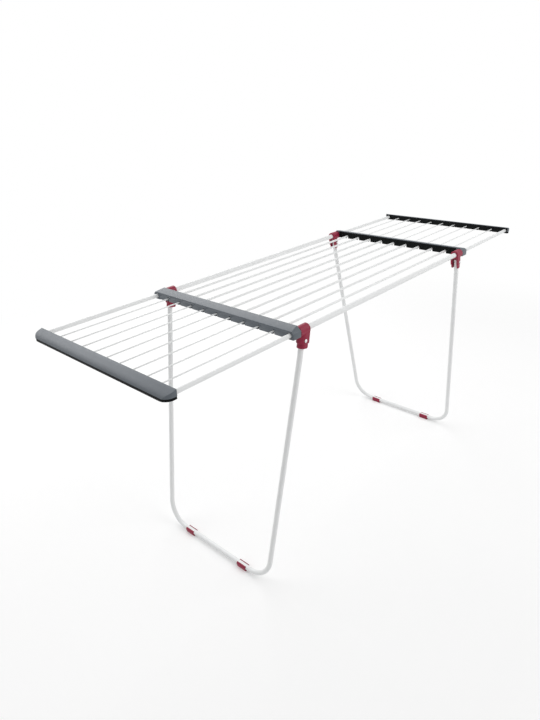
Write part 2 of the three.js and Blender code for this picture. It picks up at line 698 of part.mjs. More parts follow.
// Clip-on foot: a saddle round the underside of the base, thickened to a flat pad.
function footClip(name, y) {
  const inner = LEG_RADIUS + SEAT_GAP;
  const outer = inner + FOOT_WALL;
  const from = Math.PI - FOOT_MOUTH;
  const to = 2 * Math.PI + FOOT_MOUTH;
  const shape = new THREE.Shape();
  shape.moveTo(outer * Math.cos(from), outer * Math.sin(from));
  shape.absarc(0, 0, outer, from, to, false);
  shape.lineTo(inner * Math.cos(to), inner * Math.sin(to));
  shape.absarc(0, 0, inner, to, from, true);
  shape.closePath();
  const half = FOOT_LENGTH / 2;
  const saddle = solid(extrude(shape, 'y', -half, half, { curveSegments: STEPS.saddle }));
  // The pad's sides rise to the saddle's widest part, tucked just inside its wall.
  const pad = outline([
    [-FOOT_PAD_WIDTH / 2, -legBaseZ],
    [FOOT_PAD_WIDTH / 2, -legBaseZ],
    [outer - FOOT_WALL / 4, -FOOT_WALL],
    [FOOT_WALL / 4 - outer, -FOOT_WALL],
  ]);
  const padBody = solid(extrude(pad, 'y', -half, half));
  const hollow = rod('y', inner, -FOOT_LENGTH, FOOT_LENGTH, 0, 0, 2 * STEPS.saddle);
  const mesh = piece(name, saddle.add(padBody.subtract(hollow)), crimsonPlastic());
  mesh.position.set(legBaseX, y, legBaseZ);
  return mesh;
}

// ---------------------------------------------------------------- assembly

// Everything at one end is built on the +X side; the near end is the same, turned half round.
function rackEnd(end) {
  const group = new THREE.Group();
  const turned = end === 'near';
  const sides = [['left', turned ? -1 : 1], ['right', turned ? 1 : -1]];
  group.add(crossbarCover(`crossbar_cover_${end}`));
  group.add(crossbarComb(`crossbar_comb_${end}`));
  group.add(gripCover(`grip_cover_${end}`));
  group.add(gripTray(`grip_tray_${end}`));
  for (const [label, side] of sides) {
    const y = side * railY;
    group.add(wingRod(`wing_rod_${end}_${label}`, y));
    group.add(railBush(`rail_bush_${end}_${label}`, y));
    group.add(legConnector(`leg_connector_${end}_${label}`, side));
    group.add(pivotRivet(`pivot_rivet_${end}_${label}`, side));
    group.add(footClip(`foot_clip_${end}_${label}`, side * FOOT_OFFSET));
  }
  lineY.forEach((y, i) => {
    group.add(wingWire(`wing_wire_${end}_${i + 1}`, turned ? -y : y));
  });
  const leg = new THREE.Group();
  leg.position.set(pivotX, 0, pivotZ);
  leg.rotation.y = -LEG_SPLAY;
  leg.add(legFrame(`leg_frame_${end}`));
  group.add(leg);
  if (turned) group.rotation.z = Math.PI;
  return group;
}

const rack = new THREE.Group();
rack.add(outerRail('outer_rail_left', railY));
rack.add(outerRail('outer_rail_right', -railY));
lineY.forEach((y, i) => rack.add(dryingTube(`drying_tube_${i + 1}`, y)));
rack.add(rackEnd('near'));
rack.add(rackEnd('far'));

export default rack;
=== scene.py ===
"""Looks of an extendable clothes drying rack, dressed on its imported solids.

Metres, Z up, X along the rails. Each sub-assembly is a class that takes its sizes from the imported
solids, models its pieces on the bench, and gives each piece its finish and the body it rides on.
What is the same at both ends is modelled at the far end (+X) and turned half round for the near one.
"""

import json
import logging
import math
from collections.abc import Callable, Iterable
from dataclasses import dataclass
from enum import Enum
from functools import cached_property
from itertools import pairwise, product

import bmesh
import bpy
from mathutils import Matrix, Vector

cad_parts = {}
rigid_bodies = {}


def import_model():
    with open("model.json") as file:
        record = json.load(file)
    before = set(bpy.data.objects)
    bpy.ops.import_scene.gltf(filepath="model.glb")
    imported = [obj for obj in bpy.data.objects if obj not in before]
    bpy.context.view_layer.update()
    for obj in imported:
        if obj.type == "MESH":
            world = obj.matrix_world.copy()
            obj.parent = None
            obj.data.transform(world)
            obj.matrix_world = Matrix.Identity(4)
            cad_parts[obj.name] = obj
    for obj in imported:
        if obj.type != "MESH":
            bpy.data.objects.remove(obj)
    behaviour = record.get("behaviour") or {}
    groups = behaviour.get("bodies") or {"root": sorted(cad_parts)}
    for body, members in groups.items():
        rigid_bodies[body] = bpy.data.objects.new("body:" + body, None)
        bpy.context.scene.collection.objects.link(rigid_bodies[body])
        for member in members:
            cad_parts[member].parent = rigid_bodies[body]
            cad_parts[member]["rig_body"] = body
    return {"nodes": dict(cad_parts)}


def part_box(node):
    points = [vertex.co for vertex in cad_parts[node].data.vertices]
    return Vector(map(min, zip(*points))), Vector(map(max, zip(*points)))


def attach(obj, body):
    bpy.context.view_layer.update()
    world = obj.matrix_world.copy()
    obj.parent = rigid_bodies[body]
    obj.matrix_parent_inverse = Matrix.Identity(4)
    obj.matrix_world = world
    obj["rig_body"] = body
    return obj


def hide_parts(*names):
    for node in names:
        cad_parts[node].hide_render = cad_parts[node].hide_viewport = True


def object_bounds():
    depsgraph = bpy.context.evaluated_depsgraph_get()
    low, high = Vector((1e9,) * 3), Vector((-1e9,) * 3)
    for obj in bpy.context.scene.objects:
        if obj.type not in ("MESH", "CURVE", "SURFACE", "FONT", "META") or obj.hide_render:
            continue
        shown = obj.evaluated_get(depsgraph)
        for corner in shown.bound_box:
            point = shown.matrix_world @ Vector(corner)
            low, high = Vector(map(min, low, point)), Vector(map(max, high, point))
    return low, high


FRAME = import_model()
PACKED_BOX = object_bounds()

Socket = bpy.types.NodeSocket
Inputs = dict[str | int, object]
Colour = Point = tuple[float, float, float]
Span = tuple[float, float]
EdgeTest = Callable[[Vector, Vector], bool]

MM = 0.001

# Sizes that several sub-assemblies share.
LEG_RADIUS = 8 * MM
LEG_STUB = 9 * MM
BUSH_FLANGE = 2.4 * MM
EDGE = 1.2 * MM
SHELL = 2.4 * MM
SLOT_RATIO = 0.85

# The gap round a seated part, how far a cutter stands past a face, how much longer a drill is than
# its hole, and how far off a face one of its edges may lie.
SEAT_GAP = 0.3 * MM
MARGIN = 1 * MM
SPARE = 20 * MM
TOUCH = 0.01 * MM

BOTH_WAYS = (1.0, -1.0)
DARK_TO_BRIGHT = (0.3, 0.7)

log = logging.getLogger("drying_rack")


class End(Enum):
    """The two ends of the rack."""

    NEAR = "near"
    FAR = "far"


class Side(Enum):
    """The two sides of the rack; left is +Y."""

    LEFT = "left"
    RIGHT = "right"


class Axis(Enum):
    """The direction that a round bar runs in, with the turn that lays a cylinder along it."""

    X = (0.0, math.pi / 2, 0.0)
    Y = (math.pi / 2, 0.0, 0.0)
    Z = (0.0, 0.0, 0.0)


# ---- finishes


@dataclass(frozen=True)
class Pattern:
    """A noise pattern: the size of its features in metres, its octaves, stretch and height."""

    size: float
    detail: float = 2.0
    stretch: Point = (1.0, 1.0, 1.0)
    height: float = 0.0


FLOW_MARKS = Pattern(35 * MM, 3.0, (1.0, 3.0, 1.0), 0.06 * MM)
DRAWN_LINES = Pattern(0.3 * MM, 3.0, (1.0, 8.0, 1.0), 0.006 * MM)
MOULD_GRAIN = 0.55 * MM
SHEEN = "Specular IOR Level"


class NodeSheet:
    """The node tree of a material or a world, with short calls for the nodes that it gets."""

    def __init__(self, owner: bpy.types.Material | bpy.types.World) -> None:
        """Open the node tree of a material or a world."""
        owner.use_nodes = True
        self.tree = owner.node_tree

    @cached_property
    def place(self) -> Socket:
        """The place on the object, in Object coordinates."""
        return self.add("ShaderNodeTexCoord").outputs["Object"]

    def fill(self, node: bpy.types.Node, inputs: Inputs) -> None:
        """Set a node's inputs.

        Args:
            node: The node.
            inputs: What each input gets: a socket to link it to, or a plain value.
        """
        for name, value in inputs.items():
            if isinstance(value, Socket):
                self.tree.links.new(value, node.inputs[name])
            else:
                node.inputs[name].default_value = value

    def add(self, kind: str, inputs: Inputs | None = None, **settings: str) -> bpy.types.Node:
        """Add a node.

        Args:
            kind: Blender's name for the kind of node.
            inputs: What its inputs get.
            settings: Its own settings.

        Returns:
            The node.
        """
        node = self.tree.nodes.new(kind)
        for name, value in settings.items():
            setattr(node, name, value)
        self.fill(node, inputs or {})
        return node

    def noise(self, pattern: Pattern) -> Socket:
        """Add a noise pattern on Object coordinates.

        Args:
            pattern: Its size, octaves and stretch.

        Returns:
            The socket with its values.
        """
        scale = [1.0 / longer for longer in pattern.stretch]
        place = self.add("ShaderNodeMapping", {"Vector": self.place, "Scale": scale}).outputs["Vector"]
        inputs = {"Vector": place, "Scale": 1.0 / pattern.size, "Detail": pattern.detail}
        return self.add("ShaderNodeTexNoise", inputs).outputs["Fac"]

    def seen_directly(self) -> Socket:
        """Add the test for rays that come from the camera or off something glossy or clear.

        Returns:
            The socket that is 1 for such rays.
        """
        path = self.add("ShaderNodeLightPath").outputs
        total = path["Is Camera Ray"]
        for other in ("Is Glossy Ray", "Is Transmission Ray"):
            total = self.add("ShaderNodeMath", {0: total, 1: path[other]}, operation="MAXIMUM").outputs[0]
        return total


@dataclass(frozen=True)
class Finish:
    """A finish: its slot in the record, its linear colour, and how tone and gloss vary over it.

    The relief is the patterns that raise its surface, the lowest first, and its nature is the
    shader's input that sets it apart.
    """

    slot: str
    colour: Colour
    roughness: float
    uneven: Span
    shades: Span
    cloud: Pattern
    smudge: Pattern
    relief: tuple[Pattern, ...]
    nature: tuple[str, float]
    tone: str = "plain"

    def made(self) -> bpy.types.Material:
        """Give the finish's material, which is built the first time it is asked for.

        Returns:
            The material.
        """
        name = f"{self.slot}_{self.tone}"
        material = bpy.data.materials.get(name)
        if material is not None:
            return material
        material = bpy.data.materials.new(name)
        sheet = NodeSheet(material)
        tint = sheet.add("ShaderNodeValToRGB", {"Fac": sheet.noise(self.cloud)})
        for stop, position, shade in zip(tint.color_ramp.elements, DARK_TO_BRIGHT, self.shades):
            stop.position = position
            stop.color = (*(min(1.0, channel * shade) for channel in self.colour), 1.0)
        gloss = sheet.add("ShaderNodeMapRange", {
            "Value": sheet.noise(self.smudge), "From Min": DARK_TO_BRIGHT[0], "From Max": DARK_TO_BRIGHT[1],
            "To Min": self.roughness - self.uneven[0], "To Max": self.roughness + self.uneven[1]})
        below: Inputs = {}
        for pattern in self.relief:
            bump = sheet.add("ShaderNodeBump", {"Strength": 1.0, "Distance": pattern.height,
                                                "Height": sheet.noise(pattern), **below})
            below = {"Normal": bump.outputs["Normal"]}
        sheet.fill(sheet.tree.nodes["Principled BSDF"], {
            "Base Color": tint.outputs["Color"], "Roughness": gloss.outputs["Result"],
            self.nature[0]: self.nature[1], **below})
        return material


@dataclass(frozen=True)
class PowderCoat(Finish):
    """Baked powder paint on tube: glossy, with a faint orange-peel surface."""

    roughness: float = 0.34
    uneven: Span = (0.04, 0.05)
    shades: Span = (0.975, 1.0)
    cloud: Pattern = Pattern(60 * MM)
    smudge: Pattern = Pattern(14 * MM)
    relief: tuple[Pattern, ...] = (Pattern(2.4 * MM, detail=1.0, height=0.02 * MM),)
    nature: tuple[str, float] = ("IOR", 1.5)


@dataclass(frozen=True)
class MouldedPlastic(Finish):
    """Moulded polypropylene: satin and mottled, with broad flow marks and the grain of its mould."""

    roughness: float = 0.5
    uneven: Span = (0.05, 0.06)
    shades: Span = (0.93, 1.07)
    cloud: Pattern = FLOW_MARKS
    smudge: Pattern = Pattern(4 * MM, detail=3.0)
    relief: tuple[Pattern, ...] = (FLOW_MARKS, Pattern(MOULD_GRAIN, height=0.03 * MM))
    nature: tuple[str, float] = (SHEEN, 0.4)


@dataclass(frozen=True)
class ZincPlate(Finish):
    """Bright zinc-plated steel with the fine lines of its forming."""

    roughness: float = 0.24
    uneven: Span = (0.06, 0.12)
    shades: Span = (0.9, 1.0)
    cloud: Pattern = Pattern(2.5 * MM)
    smudge: Pattern = DRAWN_LINES
    relief: tuple[Pattern, ...] = (DRAWN_LINES,)
    nature: tuple[str, float] = ("Metallic", 1.0)


WHITE_PAINT = PowderCoat("white_paint", (0.86, 0.87, 0.87))
GREY_PLASTIC = MouldedPlastic("grey_plastic", (0.102, 0.118, 0.137), 0.4, nature=(SHEEN, 0.45))
PALE_PLASTIC = MouldedPlastic("grey_plastic", (0.62, 0.63, 0.63), tone="pale")
BLACK_PLASTIC = MouldedPlastic("black_plastic", (0.0045, 0.0054, 0.0057), 0.46, nature=(SHEEN, 0.08),
                               relief=(FLOW_MARKS, Pattern(MOULD_GRAIN, height=0.02 * MM)))
CRIMSON_PLASTIC = MouldedPlastic("crimson_plastic", (0.285, 0.012, 0.044), 0.44, nature=(SHEEN, 0.35),
                                 relief=(FLOW_MARKS, Pattern(MOULD_GRAIN, height=0.018 * MM)))
BARE_STEEL = ZincPlate("bare_steel", (0.74, 0.75, 0.76))


# ---- the bench


class Workpiece:
    """One mesh on the bench: a primitive that is shaped until it is the finished piece."""

    def __init__(self, name: str) -> None:
        """Take the primitive that was just added, and set its place into its mesh.

        Args:
            name: The piece's name.
        """
        self.obj = bpy.context.object
        self.obj.name = name
        self.obj.data.name = name
        self.settle()

    @classmethod
    def block(cls, name: str, low: Iterable[float], high: Iterable[float]) -> "Workpiece":
        """Saw a block to size.

        Args:
            name: The piece's name.
            low: Its lowest corner.
            high: Its highest corner.

        Returns:
            The block.
        """
        clear_bench()
        low, high = Vector(low), Vector(high)
        bpy.ops.mesh.primitive_cube_add(size=1.0, location=(low + high) / 2, scale=high - low)
        return cls(name)

    @classmethod
    def bar(cls, name: str, axis: Axis, radius: float, middle: Iterable[float], length: float,
            sides: int = 48, filled: bool = True) -> "Workpiece":
        """Cut a round bar.

        Args:
            name: The piece's name.
            axis: The direction it runs in.
            radius: Its radius.
            middle: The middle of its axis.
            length: Its length.
            sides: How many faces go round it.
            filled: False for an open skin that gets a wall later.

        Returns:
            The bar.
        """
        clear_bench()
        bpy.ops.mesh.primitive_cylinder_add(
            vertices=sides, radius=radius, depth=length, location=Vector(middle),
            rotation=axis.value, end_fill_type="NGON" if filled else "NOTHING")
        return cls(name)

    def take(self) -> None:
        """Make this the only piece that is selected."""
        clear_bench()
        self.obj.select_set(True)
        bpy.context.view_layer.objects.active = self.obj

    def settle(self) -> None:
        """Move the object's place and turn into its mesh, so that it sits at the origin."""
        self.take()
        bpy.ops.object.transform_apply(location=True, rotation=True, scale=True)

    def open_up(self, action: str = "SELECT") -> None:
        """Enter edit mode.

        Args:
            action: SELECT for all edges selected, or DESELECT for none.
        """
        self.take()
        bpy.ops.object.mode_set(mode="EDIT")
        bpy.ops.mesh.select_mode(type="EDGE")
        bpy.ops.mesh.select_all(action=action)

    def put_down(self) -> None:
        """Leave edit mode."""
        bpy.ops.object.mode_set(mode="OBJECT")

    def slice_off(self, point: Iterable[float], outward: Iterable[float]) -> None:
        """Saw off all that lies beyond a plane, and close the cut.

        Args:
            point: A point on the plane.
            outward: The direction that is sawn off.
        """
        self.open_up()
        bpy.ops.mesh.bisect(plane_co=Vector(point), plane_no=Vector(outward).normalized(),
                            use_fill=True, clear_outer=True)
        self.put_down()

    def round_edges(self, chosen: EdgeTest, width: float, segments: int) -> None:
        """Round some edges.

        Args:
            chosen: Test of an edge's two ends.
            width: How far the rounding reaches from the edge.
            segments: How many faces it has.
        """
        self.open_up("DESELECT")
        mesh = bmesh.from_edit_mesh(self.obj.data)
        for edge in mesh.edges:
            edge.select_set(chosen(edge.verts[0].co, edge.verts[1].co))
        bmesh.update_edit_mesh(self.obj.data)
        bpy.ops.mesh.bevel(offset=width, offset_type="OFFSET", segments=segments, affect="EDGES")
        self.put_down()

    def modify(self, kind: str, **settings: object) -> None:
        """Add a modifier and apply it.

        Args:
            kind: Blender's name for the kind of modifier.
            settings: Its settings.
        """
        self.take()
        modifier = self.obj.modifiers.new("work", kind)
        for name, value in settings.items():
            setattr(modifier, name, value)
        bpy.ops.object.modifier_apply(modifier=modifier.name)

    def combine(self, others: Iterable["Workpiece"], operation: str) -> None:
        """Cut other pieces out of this one or weld them to it, which uses them up.

        Args:
            others: The pieces.
            operation: DIFFERENCE or UNION.
        """
        for other in others:
            self.modify("BOOLEAN", operation=operation, object=other.obj, solver="MANIFOLD")
            bpy.data.objects.remove(other.obj)

    def cut(self, *cutters: "Workpiece") -> None:
        """Cut other pieces out of this one."""
        self.combine(cutters, "DIFFERENCE")

    def weld(self, *others: "Workpiece") -> None:
        """Weld other pieces to this one."""
        self.combine(others, "UNION")

    def give_wall(self, wall: float) -> None:
        """Turn an open skin into a wall of some thickness, inwards."""
        self.modify("SOLIDIFY", thickness=wall, offset=-1.0, use_even_offset=True)

    def drop_crumbs(self) -> None:
        """Keep the largest loose part, and delete the crumbs that a remesh leaves beside it."""
        name = self.obj.name
        self.open_up()
        bpy.ops.mesh.separate(type="LOOSE")
        self.put_down()
        *crumbs, self.obj = sorted(bpy.context.selected_objects, key=lambda part: len(part.data.vertices))
        for crumb in crumbs:
            bpy.data.objects.remove(crumb)
        self.obj.name = name

    def ease(self, width: float, segments: int = 2, angle: float = 40.0) -> None:
        """Ease every sharp edge a little.

        Args:
            width: How far the rounding reaches from an edge.
            segments: How many faces it has.
            angle: The least angle of an edge that counts as sharp, in degrees.
        """
        self.modify("BEVEL", width=width, segments=segments, limit_method="ANGLE",
                    angle_limit=math.radians(angle), use_clamp_overlap=True)

    def smooth(self, angle: float = 32.0) -> None:
        """Shade it smooth across edges flatter than an angle in degrees."""
        self.take()
        bpy.ops.object.shade_smooth_by_angle(angle=math.radians(angle))

    def place(self, matrix: Matrix) -> None:
        """Turn and move the piece on the bench."""
        self.obj.matrix_world = matrix
        self.settle()

    def copied(self, name: str, matrix: Matrix) -> "Workpiece":
        """Make a copy with a mesh of its own, turned and moved.

        Args:
            name: The copy's name.
            matrix: The turn and the move.

        Returns:
            The copy.
        """
        self.take()
        bpy.ops.object.duplicate(linked=False)
        copy = Workpiece(name)
        copy.place(matrix)
        return copy

    def fit(self, node: str, finish: Finish) -> None:
        """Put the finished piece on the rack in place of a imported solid.

        Args:
            node: The solid it stands for, whose body it rides on.
            finish: Its finish.
        """
        self.obj.data.materials.clear()
        self.obj.data.materials.append(finish.made())
        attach(self.obj, FRAME["nodes"][node]["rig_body"])
        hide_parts(node)
        log.info("%s stands for %s, %d faces", self.obj.name, node, len(self.obj.data.polygons))


def clear_bench() -> None:
    """Leave edit mode and deselect everything."""
    if bpy.context.mode != "OBJECT":
        bpy.ops.object.mode_set(mode="OBJECT")
    bpy.ops.object.select_all(action="DESELECT")


def half_turn(point: Vector = Vector()) -> Matrix:
    """Give the half turn about a vertical line through a point."""
    return Matrix.Translation(point) @ Matrix.Rotation(math.pi, 4, "Z") @ Matrix.Translation(-point)


def across(distance: float) -> Matrix:
    """Give a move along Y."""
    return Matrix.Translation((0.0, distance, 0.0))


def keyhole(x0: float, x1: float, axis: Vector, radius: float, foot: float) -> Workpiece:
    """Shape a round hole that is open at the foot, for a tube or wire to snap into.

    Args:
        x0: Where it starts.
        x1: Where it ends.
        axis: A point on the axis of the tube.
        radius: The hole's radius.
        foot: The foot of the wall.

    Returns:
        The cutter.
    """
    half = radius * SLOT_RATIO
    hole = Workpiece.bar("keyhole", Axis.X, radius, ((x0 + x1) / 2, axis.y, axis.z), x1 - x0, sides=32)
    hole.weld(Workpiece.block("slot", (x0, axis.y - half, foot - MARGIN), (x1, axis.y + half, axis.z)))
    return hole


def fit_both_ends(piece: Workpiece, kind: str, finish: Finish, number: str = "", shift: float = 0.0) -> None:
    """Fit a piece at the far end and a turned copy at the near end.

    Args:
        piece: The piece, modelled at the far end.
        kind: What its node is called before the end's name.
        finish: Its finish.
        number: What its node is called after the end's name.
        shift: How far the copy moves along Y before it is turned.
    """
    near = piece.copied(f"{kind}_near{number}_looks", half_turn() @ across(shift))
    piece.fit(f"{kind}_far{number}", finish)
    near.fit(f"{kind}_near{number}", finish)


def fit_four_corners(piece: Workpiece, kind: str, finish: Finish, swap: Matrix) -> None:
    """Fit a piece at the far left corner and copies at the other three.

    Args:
        piece: The piece, modelled at the far left corner.
        kind: What its node is called before the corner's name.
        finish: Its finish.
        swap: The move that takes it from the left to the right of the far end.
    """
    for end, side in product(End, Side):
        if (end, side) == (End.FAR, Side.LEFT):
            continue
        corner = f"{kind}_{end.value}_{side.value}"
        move = Matrix.Identity(4) if (end is End.FAR) == (side is Side.LEFT) else swap
        if end is End.NEAR:
            move = half_turn() @ move
        piece.copied(f"{corner}_looks", move).fit(corner, finish)
    piece.fit(f"{kind}_far_left", finish)


# ---- shared places


@dataclass(frozen=True)
class Layout:
    """Places that several sub-assemblies share at the far end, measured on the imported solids."""

    rail_y: float
    rail_z: float
    rail_radius: float
    rail_end: float
    line_ys: tuple[float, ...]
    bar: tuple[Vector, Vector]
    pivot: Vector
    base: Vector

    @classmethod
    def measured(cls) -> "Layout":
        """Measure the rack.

        Returns:
            The layout of its far end; the near end is the same, turned half round.
        """
        low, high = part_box("outer_rail_left")
        rivet, foot = (sum(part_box(f"{kind}_far_left"), Vector()) / 2 for kind in ("pivot_rivet", "foot_clip"))
        count = sum(node.startswith("drying_tube_") for node in FRAME["nodes"])
        tubes = [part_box(f"drying_tube_{i + 1}") for i in range(count)]
        return cls(
            rail_y=(low.y + high.y) / 2,
            rail_z=(low.z + high.z) / 2,
            rail_radius=(high.z - low.z) / 2,
            rail_end=high.x,
            line_ys=tuple(round((tube[0].y + tube[1].y) / 2, 5) for tube in tubes),
            bar=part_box("crossbar_cover_far"),
            pivot=Vector((rivet.x, 0.0, rivet.z)),
            base=Vector((foot.x, foot.y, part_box("leg_frame_far")[0].z + LEG_RADIUS)),
        )

    @property
    def splay(self) -> float:
        """How far a leg leans out, in radians."""
        reach = self.base - self.pivot
        return math.atan2(reach.x, -reach.z)

    @property
    def leg_length(self) -> float:
        """Pivot to the axis of the leg's base, along the leg."""
        return math.hypot(self.base.x - self.pivot.x, self.base.z - self.pivot.z)

    @property
    def left_pivot(self) -> Vector:
        """The middle of the far left rivet."""
        return self.pivot + Vector((0.0, self.rail_y, 0.0))


# ---- rails and tubes


@dataclass
class MiddleFrame:
    """The two outer rails and the drying tubes between them."""

    layout: Layout
    rail_wall: float = 1 * MM
    tube_wall: float = 0.8 * MM

    def lay(self, node: str, y: float, radius: float, wall: float, ends: Span, sides: int) -> None:
        """Cut a straight tube along X with clean rims, and fit it.

        Args:
            node: The solid it stands for.
            y: Where it lies.
            radius: Its outer radius.
            wall: Its wall thickness.
            ends: Where it starts and ends.
            sides: How many faces go round it.
        """
        start, end = (Vector((x, y, self.layout.rail_z)) for x in ends)
        tube = Workpiece.bar(f"{node}_looks", Axis.X, radius, (start + end) / 2, (end - start).length,
                             sides, filled=False)
        tube.give_wall(wall)
        tube.smooth()
        tube.fit(node, WHITE_PAINT)

    def tubes(self) -> None:
        """Cut the outer rails and the drying tubes."""
        lay = self.layout
        ends = (-lay.rail_end, lay.rail_end)
        for side, way in zip(Side, BOTH_WAYS):
            self.lay(f"outer_rail_{side.value}", way * lay.rail_y, lay.rail_radius, self.rail_wall, ends, sides=56)
        low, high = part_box("drying_tube_1")
        radius = (high.z - low.z) / 2
        for i, y in enumerate(lay.line_ys):
            self.lay(f"drying_tube_{i + 1}", y, radius, self.tube_wall, (low.x, high.x), sides=32)


# ---- crossbars


@dataclass
class Crossbar:
    """A moulded crossbar: its grey cover and the black comb inside it."""

    layout: Layout
    crease_rise: float = 13 * MM
    skirt_drop: float = 9 * MM
    block_inner: float = 13 * MM
    mitre_run: float = 14 * MM
    mitre_fall: float = 12 * MM
    mitre_round: float = 1.4 * MM
    end_round: float = 1.6 * MM
    cover_ease: float = 0.25 * MM
    arch_rise: float = 5 * MM
    arch_top: float = 5.2 * MM
    arch_foot: float = 6.2 * MM
    rod_mouth: float = 8.2 * MM
    comb_wall: float = 2.4 * MM
    comb_ease: float = 0.2 * MM
    rib: float = 1.6 * MM
    panel_rib: float = 1.4 * MM
    panel_rib_proud: float = 0.8 * MM
    tube_seat: float = 4.3 * MM
    wire_guide: float = 2.4 * MM

    @property
    def top_slope(self) -> Vector:
        """Work out which way the sloping top faces.

        Returns:
            Its normal, of length 1.
        """
        low, high = self.layout.bar
        fall = high.z - (self.layout.rail_z + self.crease_rise)
        return Vector((fall, 0.0, (high.x - EDGE) - (low.x + EDGE))).normalized()

    @property
    def inner_y(self) -> float:
        """Where the hollow ends and the end block starts."""
        return self.layout.rail_y - self.block_inner

    def outer_form(self) -> Workpiece:
        """Shape the outside: sloping top, mitred ends and rounded edges.

        Returns:
            The solid outer form.
        """
        low, high = self.layout.bar
        form = Workpiece.block("crossbar_cover_far_looks", low, high)
        form.slice_off((low.x + EDGE, 0.0, high.z), self.top_slope)
        for way in BOTH_WAYS:
            form.slice_off((0.0, way * (high.y - self.mitre_run), high.z),
                           (0.0, way * self.mitre_fall, self.mitre_run))
        foot, end_face = low.z + MARGIN, high.y - 0.2 * MM
        near, upright = 0.5 * MM, 5 * MM
        for x, width in ((high.x, EDGE), (low.x, 0.9 * EDGE)):
            form.round_edges(lambda a, b, x=x: min(a.z, b.z) > foot and abs(a.y - b.y) > MARGIN
                             and max(abs(a.x - x), abs(b.x - x)) < near, width, segments=4)
        form.round_edges(lambda a, b: abs(a.x - b.x) > SPARE and min(a.z, b.z) > foot, self.mitre_round, segments=4)
        form.round_edges(lambda a, b: min(abs(a.y), abs(b.y)) > end_face and abs(a.z - b.z) > upright,
                         self.end_round, segments=4)
        return form

    def hollow(self) -> Workpiece:
        """Shape what is taken out of the cover between its two end blocks.

        Returns:
            The cutter.
        """
        low, high = self.layout.bar
        cutter = Workpiece.block("hollow", (low.x - MARGIN, -self.inner_y, low.z - MARGIN),
                                 (high.x - SHELL, self.inner_y, high.z - SHELL))
        cutter.slice_off((low.x + EDGE + SHELL, 0.0, high.z - SHELL), self.top_slope)
        return cutter

    def arch(self, y: float) -> Workpiece:
        """Shape one arch through the skirt, narrow above and flaring to its open foot.

        Args:
            y: Where the wire passes.

        Returns:
            The cutter.
        """
        outer = self.layout.bar[1].x
        x0, x1 = outer - SHELL - MARGIN, outer + MARGIN
        half_top, half_foot = self.arch_top / 2, self.arch_foot / 2
        centre = self.layout.rail_z + self.arch_rise - half_top
        foot = self.layout.rail_z - self.skirt_drop
        cutter = Workpiece.block("arch", (x0, y - half_foot, foot - MARGIN), (x1, y + half_foot, centre))
        for way in BOTH_WAYS:
            cutter.slice_off((x0, y + way * half_top, centre), (0.0, way * (centre - foot), half_foot - half_top))
        cutter.weld(Workpiece.bar("crown", Axis.X, half_top, ((x0 + x1) / 2, y, centre), x1 - x0, sides=24))
        return cutter

    def cover(self) -> None:
        """Model the grey cover and fit it at both ends."""
        lay, (low, high) = self.layout, self.layout.bar
        cover = self.outer_form()
        under = Workpiece.block("under", (low.x - MARGIN, -self.inner_y, low.z - MARGIN),
                                (high.x + MARGIN, self.inner_y, lay.rail_z - self.skirt_drop))
        cover.cut(self.hollow(), under)
        start = low.x - MARGIN
        seat = lay.rail_end + BUSH_FLANGE + 2 * SEAT_GAP
        for way in BOTH_WAYS:
            y = way * lay.rail_y
            rail = Workpiece.bar("rail_bore", Axis.X, lay.rail_radius + SEAT_GAP,
                                 ((start + seat) / 2, y, lay.rail_z), seat - start, sides=56)
            rod = Workpiece.bar("rod_mouth", Axis.X, self.rod_mouth, (high.x, y, lay.rail_z), 2 * SPARE, sides=56)
            cover.cut(rail, rod)
        cover.cut(*(self.arch(y) for y in lay.line_ys))
        cover.ease(self.cover_ease)
        cover.smooth()
        fit_both_ends(cover, "crossbar_cover", GREY_PLASTIC)

    def comb(self) -> None:
        """Model the black comb and fit it at both ends."""
        lay, wall = self.layout, self.comb_wall
        low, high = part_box("crossbar_comb_far")
        back = low.x + self.panel_rib_proud
        web = lay.rail_z + self.crease_rise - EDGE - SHELL - SEAT_GAP
        comb = Workpiece.block("crossbar_comb_far_looks", (back, low.y, low.z), (back + wall, high.y, high.z))
        front = Workpiece.block("front", (high.x - wall, low.y, low.z), (high.x, high.y, web))
        shelf = Workpiece.block("shelf", (back + MARGIN, low.y, web - wall), (high.x - MARGIN, high.y, web))
        comb.weld(shelf, front)
        lines = sorted(lay.line_ys)
        bays = sorted([-lay.rail_y, *lines, lay.rail_y])
        half = self.rib / 2
        for a, b in pairwise(lines):
            y = (a + b) / 2
            comb.weld(Workpiece.block("rib", (back + MARGIN, y - half, low.z),
                                      (high.x - MARGIN, y + half, web - MARGIN)))
        half = self.panel_rib / 2
        for (a, b), share in product(pairwise(bays), (1, 2)):
            y = a + (b - a) * share / 3
            comb.weld(Workpiece.block("panel_rib", (low.x, y - half, low.z), (back + MARGIN, y + half, high.z)))
        for y in lay.line_ys:
            axis = Vector((0.0, y, lay.rail_z))
            comb.cut(keyhole(back - MARGIN, back + wall + MARGIN, axis, self.tube_seat, low.z),
                     keyhole(high.x - wall - MARGIN, high.x + MARGIN, axis, self.wire_guide, low.z))
        comb.ease(self.comb_ease, segments=1)
        comb.smooth()
        fit_both_ends(comb, "crossbar_comb", BLACK_PLASTIC)


# ---- leg connectors


